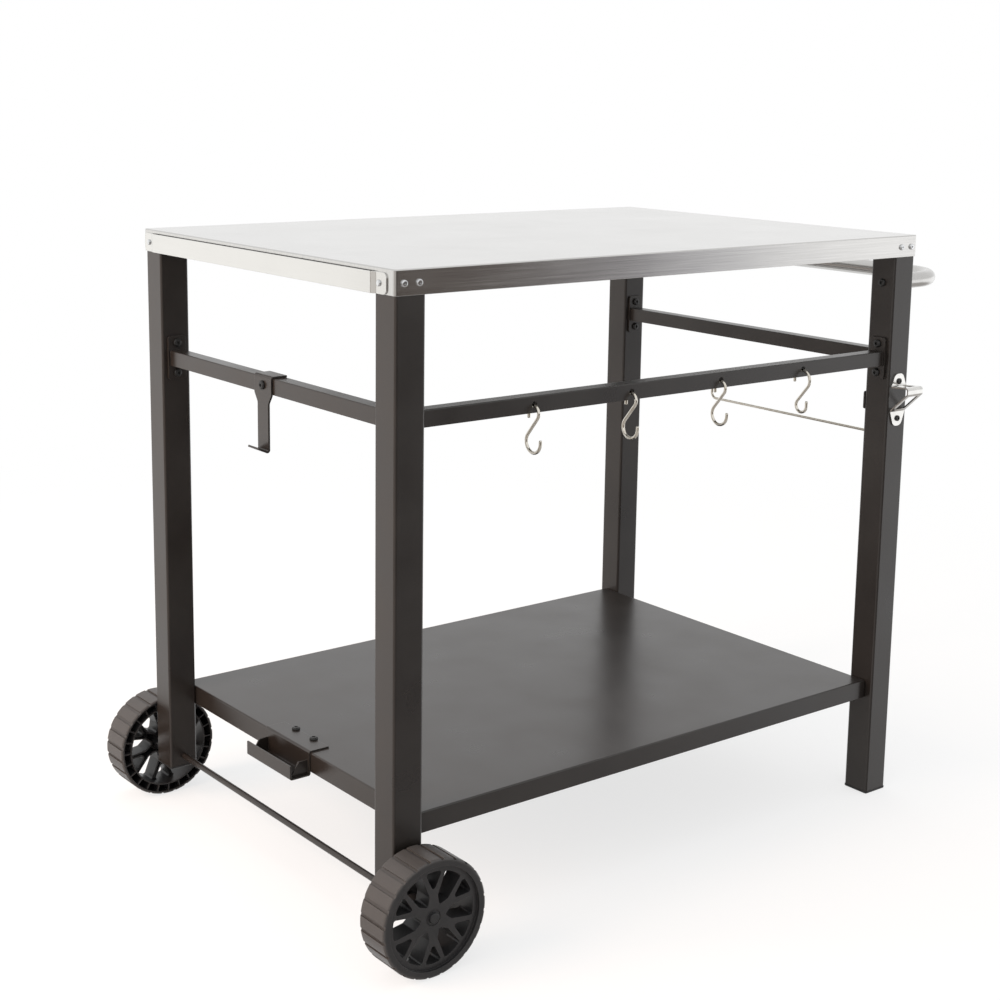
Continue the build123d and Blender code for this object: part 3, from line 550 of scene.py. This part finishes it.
# %% [markdown]
# Powder coat is plastic powder, sprayed on steel and baked. It flows out to a satin skin with a
# faint orange peel, and hides the grain of the steel below. The peel's cells are about 1.5 mm.
# Handling polishes it here and there, so its gloss drifts over a hand's breadth. The corners of the
# tubes are painted a paler grey, partly where knocks rub the coat and partly as a painted highlight.
# A plain dark colour would look like a cut-out.

# %% Satin black powder coat
drift_size, drift_range = 90, (0.3, 0.7)
peel_depth = mm(0.06)


def powder_coat(name, tint, rubbed_and_highlit, roughness, peel_mm):
    material, tree, shader, place = start_finish(name, IOR=1.6)
    peel = add_node(
        tree, "TexNoise", {"Vector": place, "Scale": per_metre(peel_mm), "Detail": 2.0}
    )
    drift = add_node(
        tree, "TexNoise", {"Vector": place, "Scale": per_metre(drift_size), "Detail": 3.0}
    )
    shade = add_node(
        tree,
        "ValToRGB",
        {"Fac": drift.outputs["Fac"]},
        stops=[(limit, colour(shade)) for limit, shade in zip(drift_range, tint)],
    )
    rounded, worn_and_highlit = soft_edges(tree, place, radius_mm=0.7, patch_mm=14)
    surface = add_node(
        tree, "MixRGB", {"Fac": worn_and_highlit, "Color1": shade.outputs["Color"], "Color2": colour(rubbed_and_highlit)}
    )
    gloss = add_node(
        tree,
        "MapRange",
        {
            "Value": drift.outputs["Fac"],
            "From Min": drift_range[0],
            "From Max": drift_range[1],
            "To Min": roughness[0],
            "To Max": roughness[1],
        },
    )
    skin = add_node(
        tree,
        "Bump",
        {
            "Strength": 0.25,
            "Distance": peel_depth,
            "Height": peel.outputs["Fac"],
            "Normal": rounded,
        },
    )
    feed_shader(tree, shader, surface.outputs[0], gloss.outputs[0], skin.outputs[0])
    return material


finishes["black_powder_coat"] = powder_coat(
    "satin_black_powder_coat",
    tint=("#1E1A18", "#25211E"),
    # The paler corner grey is partly wear from knocks, partly a painted highlight.
    rubbed_and_highlit="#48433F",
    roughness=(0.27, 0.34),
    peel_mm=1.5,
)
print("powder coat", finishes["black_powder_coat"].name)

# %% [markdown]
# The bolts are blackened in a hot bath, which leaves a thin oxide: a deeper and duller black than
# the coat, on steel that keeps its fine forged grain. The coat's lines draw that with other values.

# %% Black oxide
finishes["black_bolt"] = powder_coat(
    "black_oxide_steel",
    tint=("#101010", "#171717"),
    # The paler edge grey is partly wear, partly a painted highlight.
    rubbed_and_highlit="#2C2B2B",
    roughness=(0.38, 0.50),
    peel_mm=0.8,
)
print("bolts", finishes["black_bolt"].name)

# %% [markdown]
# The tread of a wheel carries a little dust. Painting it would need a map of the wheel, but all of
# it lies beyond a radius from the axle, so a distance is enough. The distance is measured in the
# wheel's own coordinates, so the dust turns with the wheel.

# %% Dust on the tread
axle_x, axle_z = (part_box("axle_rod")[0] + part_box("axle_rod")[1]).xz / 2
dust_fade, dust_share = 2.5, 0.45


def dusty_tread(tree, place, surface, dust_colour, from_mm):
    to_axle = add_node(
        tree, "VectorMath", {0: place, 1: (-axle_x, 0, -axle_z)}, operation="ADD"
    )
    upright = add_node(
        tree, "VectorMath", {0: to_axle.outputs[0], 1: (1, 0, 1)}, operation="MULTIPLY"
    )
    radius = add_node(tree, "VectorMath", {0: upright.outputs[0]}, operation="LENGTH")
    tread = add_node(
        tree,
        "MapRange",
        {
            "Value": radius.outputs["Value"],
            "From Min": mm(from_mm),
            "From Max": mm(from_mm + dust_fade),
            "To Max": dust_share,
        },
    )
    dusty = add_node(
        tree, "MixRGB", {"Fac": tread.outputs[0], "Color1": surface, "Color2": colour(dust_colour)}
    )
    return dusty.outputs[0]


print("axle at", round(axle_x * 1000), round(axle_z * 1000), "mm")

# %% [markdown]
# Moulded plastic takes the texture of its mould: a fine matt grain, the same on every part.
# A mould's grain is some 0.2 mm wide; here it is drawn about 1 mm wide, so that it shows.
# The wheels' grain is coarser than that of the small caps. Their edges are painted grey: partly
# scuffs, which rolling leaves on the wheels, and partly a painted highlight.

# %% Moulded black plastic
cloud_size = 30
grain_depth = mm(0.12)


def moulded_plastic(name, tint, scuffed_and_highlit, roughness, grain_mm, dusty_from_mm=None):
    material, tree, shader, place = start_finish(name, IOR=1.49)
    grain = add_node(
        tree, "TexNoise", {"Vector": place, "Scale": per_metre(grain_mm), "Detail": 3.0}
    )
    clouds = add_node(
        tree,
        "TexNoise",
        {"Vector": place, "Scale": per_metre(cloud_size), "Detail": 5.0, "Roughness": 0.7},
    )
    shade = add_node(
        tree,
        "ValToRGB",
        {"Fac": clouds.outputs["Fac"]},
        stops=[(0.35, colour(tint[0])), (0.75, colour(tint[1]))],
    )
    rounded, worn_and_highlit = soft_edges(tree, place, radius_mm=0.5, patch_mm=8)
    scuffs = add_node(
        tree, "MixRGB", {"Fac": worn_and_highlit, "Color1": shade.outputs["Color"], "Color2": colour(scuffed_and_highlit)}
    )
    surface = scuffs.outputs[0]
    if dusty_from_mm:
        surface = dusty_tread(tree, place, surface, scuffed_and_highlit, dusty_from_mm)
    gloss = add_node(
        tree,
        "MapRange",
        {"Value": grain.outputs["Fac"], "To Min": roughness[0], "To Max": roughness[1]},
    )
    skin = add_node(
        tree,
        "Bump",
        {
            "Strength": 0.35,
            "Distance": grain_depth,
            "Height": grain.outputs["Fac"],
            "Normal": rounded,
        },
    )
    feed_shader(tree, shader, surface, gloss.outputs[0], skin.outputs[0])
    return material


finishes["wheel_plastic"] = moulded_plastic(
    "moulded_wheel_plastic",
    tint=("#222223", "#2B2A2B"),
    # The grey of the edges is partly scuffs, partly a painted highlight; the tread's dust takes it too.
    scuffed_and_highlit="#504E4D",
    roughness=(0.32, 0.46),
    grain_mm=1.1,
    dusty_from_mm=67.0,
)
finishes["black_plastic"] = moulded_plastic(
    "moulded_cap_plastic",
    tint=("#1E1E1F", "#272728"),
    # The grey of the edges is partly scuffs, partly a painted highlight.
    scuffed_and_highlit="#3E3D3D",
    roughness=(0.38, 0.55),
    grain_mm=0.8,
)
print("plastic", finishes["wheel_plastic"].name, finishes["black_plastic"].name)

# %% [markdown]
# Plated steel has a thin bright metal on it: nickel, a little warm, on the wires and the opener,
# and zinc, a little cool, on the small hardware. The bath and handling leave faint clouds some
# millimetres wide, so neither the tint nor the gloss is quite even.

# %% Plated steel
def plated_steel(name, tint, roughness, cloud_mm):
    material, tree, shader, place = start_finish(name, Metallic=1.0)
    cloud = add_node(
        tree, "TexNoise", {"Vector": place, "Scale": per_metre(cloud_mm), "Detail": 4.0}
    )
    shade = add_node(
        tree,
        "ValToRGB",
        {"Fac": cloud.outputs["Fac"]},
        stops=[(0.3, colour(tint[0])), (0.7, colour(tint[1]))],
    )
    gloss = add_node(
        tree,
        "MapRange",
        {"Value": cloud.outputs["Fac"], "To Min": roughness[0], "To Max": roughness[1]},
    )
    feed_shader(tree, shader, shade.outputs["Color"], gloss.outputs[0])
    return material


plated = [
    ("bright_wire", "nickel_plated_wire", ("#D3CCBF", "#E6E2D9"), (0.07, 0.18), 6),
    ("bright_strip", "nickel_plated_strip", ("#D0CFCC", "#E4E3E0"), (0.10, 0.22), 8),
    ("zinc_steel", "zinc_plated_steel", ("#CDCFD1", "#E0E1E2"), (0.10, 0.22), 4),
]
for slot, name, tint, roughness, cloud_mm in plated:
    finishes[slot] = plated_steel(name, tint, roughness, cloud_mm)
print("plated", len(plated))

# %% [markdown]
# The channels under the worktop are sheet dipped in hot zinc. The zinc sets in flat crystals,
# called spangle, each with its own grey and gloss. Noise would blur them into clouds, so Voronoi
# cells about 9 mm wide draw them.

# %% Spangled zinc
def spangled_zinc(name, tint, roughness, crystal_mm):
    material, tree, shader, place = start_finish(name, Metallic=1.0)
    crystals = add_node(tree, "TexVoronoi", {"Vector": place, "Scale": per_metre(crystal_mm)})
    grey = add_node(tree, "SeparateColor", {0: crystals.outputs["Color"]})
    shade = add_node(
        tree,
        "ValToRGB",
        {"Fac": grey.outputs[0]},
        stops=[(0.0, colour(tint[0])), (1.0, colour(tint[1]))],
    )
    gloss = add_node(
        tree,
        "MapRange",
        {"Value": grey.outputs[1], "To Min": roughness[0], "To Max": roughness[1]},
    )
    feed_shader(tree, shader, shade.outputs["Color"], gloss.outputs[0])
    return material


finishes["galvanised_sheet"] = spangled_zinc(
    "spangled_zinc_sheet",
    tint=("#A2A5A8", "#C6C9CC"),
    roughness=(0.28, 0.45),
    crystal_mm=9,
)
print("finishes", len(finishes))

# %% [markdown]
# Every solid of the frame now gets its finish. The record already says which slot each node
# belongs to, so a loop follows it. The strip's grain runs the other way, so it has its own.

# %% Dress the solids
for part in frame["record"]["subparts"]:
    dressed = nodes[part["node"]]
    finish = finishes[part["material_slot"]]
    if part["node"] == "end_strip":
        finish = strip_finish
    dressed.data.materials.clear()
    dressed.data.materials.append(finish)

# %% [markdown]
# The hooks and the towel rod are bent wire. A curve with a bevel would do, but a mesh keeps its
# rings where the bends are and lets an end be rounded. A ring of edges is extruded along each
# straight run and spun round each bend, as a bending jig does it. Every bend here turns about the
# X axis, so a run, a radius and an angle describe it.

# %% Runs and bends
wire_sides, degrees_a_step = 20, 9
across, above = Vector((1, 0, 0)), Vector((0, 0, 1))


def grow_wire(bm, ring, tip, heading, bends):
    for run, radius, degrees in bends:
        grown = bmesh.ops.extrude_edge_only(bm, edges=ring)["geom"]
        verts = [v for v in grown if isinstance(v, bmesh.types.BMVert)]
        bmesh.ops.translate(bm, vec=heading * run, verts=verts)
        ring = [e for e in grown if isinstance(e, bmesh.types.BMEdge)]
        tip = tip + heading * run
        if degrees:
            turn = Matrix.Rotation(math.radians(degrees), 3, across)
            inward = across.cross(heading) * math.copysign(1, degrees)
            centre = tip + inward * radius
            grown = bmesh.ops.spin(
                bm,
                geom=ring + list({v for e in ring for v in e.verts}),
                cent=centre,
                axis=across,
                angle=math.radians(degrees),
                steps=max(2, round(abs(degrees) / degrees_a_step)),
            )["geom_last"]
            ring = [e for e in grown if isinstance(e, bmesh.types.BMEdge)]
            tip = centre + turn @ (tip - centre)
            heading = turn @ heading


print("wire sides", wire_sides)

# %% [markdown]
# A wire starts as a circle across its first run. When it is grown, both ends are filled and their
# rims bevelled, so that they are round as a tumbled wire's are. The spins may leave faces inside
# out, so the normals are worked out again at the end.

# %% A finished wire
end_round = mm(1.4)


def bend_wire(name, diameter, start, heading, bends, slot):
    bm = bmesh.new()
    bmesh.ops.create_circle(bm, segments=wire_sides, radius=diameter / 2)
    facing = heading.to_track_quat("Z", "Y").to_matrix()
    bmesh.ops.rotate(bm, cent=(0, 0, 0), matrix=facing, verts=bm.verts)
    bmesh.ops.translate(bm, vec=start, verts=bm.verts)
    grow_wire(bm, list(bm.edges), Vector(start), Vector(heading), bends)
    rims = [e for e in bm.edges if e.is_boundary]
    bmesh.ops.holes_fill(bm, edges=rims, sides=0)
    bmesh.ops.bevel(
        bm, geom=rims, offset=end_round, affect="EDGES", segments=4, profile=0.5, material=-1
    )
    bmesh.ops.recalc_face_normals(bm, faces=bm.faces)
    for face in bm.faces:
        face.smooth = len(face.verts) < wire_sides
    mesh = bpy.data.meshes.new(name)
    bm.to_mesh(mesh)
    bm.free()
    mesh.materials.append(finishes[slot])
    wire = bpy.data.objects.new(name, mesh)
    bpy.context.scene.collection.objects.link(wire)
    return wire


print("wire ends rounded by", round(end_round * 1000, 1), "mm")

# %% [markdown]
# Four hooks hang in the front rail, each a 4 mm wire bent to an S: a short tail, the upper loop
# that passes through the rail's wall, a slanting stem, and the lower loop with an upturned tip.
# Three hang by their small loop and the last by its large one. They swing, so each rides on its
# own body, and it stands for the solid that it covers.

# %% S-hooks
hook_wire, loop_centres = 4.0, 34.2
small_loop, large_loop = (9.0, 7.0), (13.0, 4.0)
hook_pins = {joint["child"]: Vector(joint["pos_m"]) for joint in frame["joints"]}
for number in range(1, 5):
    upper, lower = (small_loop, large_loop) if number < 4 else (large_loop, small_loop)
    upper_radius, upper_tail = upper
    lower_radius, lower_tail = lower
    lean = math.degrees(math.asin((upper_radius + lower_radius) / loop_centres))
    stem = loop_centres * math.cos(math.radians(lean))
    pin = hook_pins[f"hook_{number}"]
    hook = bend_wire(
        f"bent_hook_{number}",
        mm(hook_wire),
        pin + mm(0, upper_radius, -upper_radius - upper_tail),
        above,
        [
            (mm(upper_tail), mm(upper_radius), 180 + lean),
            (mm(stem), mm(lower_radius), -180 - lean),
            (mm(lower_tail), 0, 0),
        ],
        "bright_wire",
    )
    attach(hook, f"hook_{number}")
    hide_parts(f"s_hook_{number}")
    print(hook.name, [round(v * 1000, 1) for v in hook.dimensions])

# %% [markdown]
# The towel rod is the same kind of wire: down from its plate, level to the rear, and
# up again at its end, so that nothing slides off. Its solid's box gives the lengths of the runs.

# %% Towel rod
rod_low, rod_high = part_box("towel_rod")
rod_wire, rod_bend, rod_tip = mm(4.0), mm(9.0), mm(26.0)
rod_x = (rod_low.x + rod_high.x) / 2
rod_y, rod_end = rod_low.y + rod_wire / 2, rod_high.y - rod_wire / 2
rod_z = rod_low.z + rod_wire / 2
rod = bend_wire(
    "bent_towel_rod",
    rod_wire,
    Vector((rod_x, rod_y, rod_high.z)),
    -above,
    [
        (rod_high.z - rod_z - rod_bend, rod_bend, 90),
        (rod_end - rod_y - 2 * rod_bend, rod_bend, 90),
        (rod_tip - rod_bend, 0, 0),
    ],
    "bright_wire",
)
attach(rod, "table")
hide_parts("towel_rod")
print("towel rod", [round(v * 1000, 1) for v in rod.dimensions])
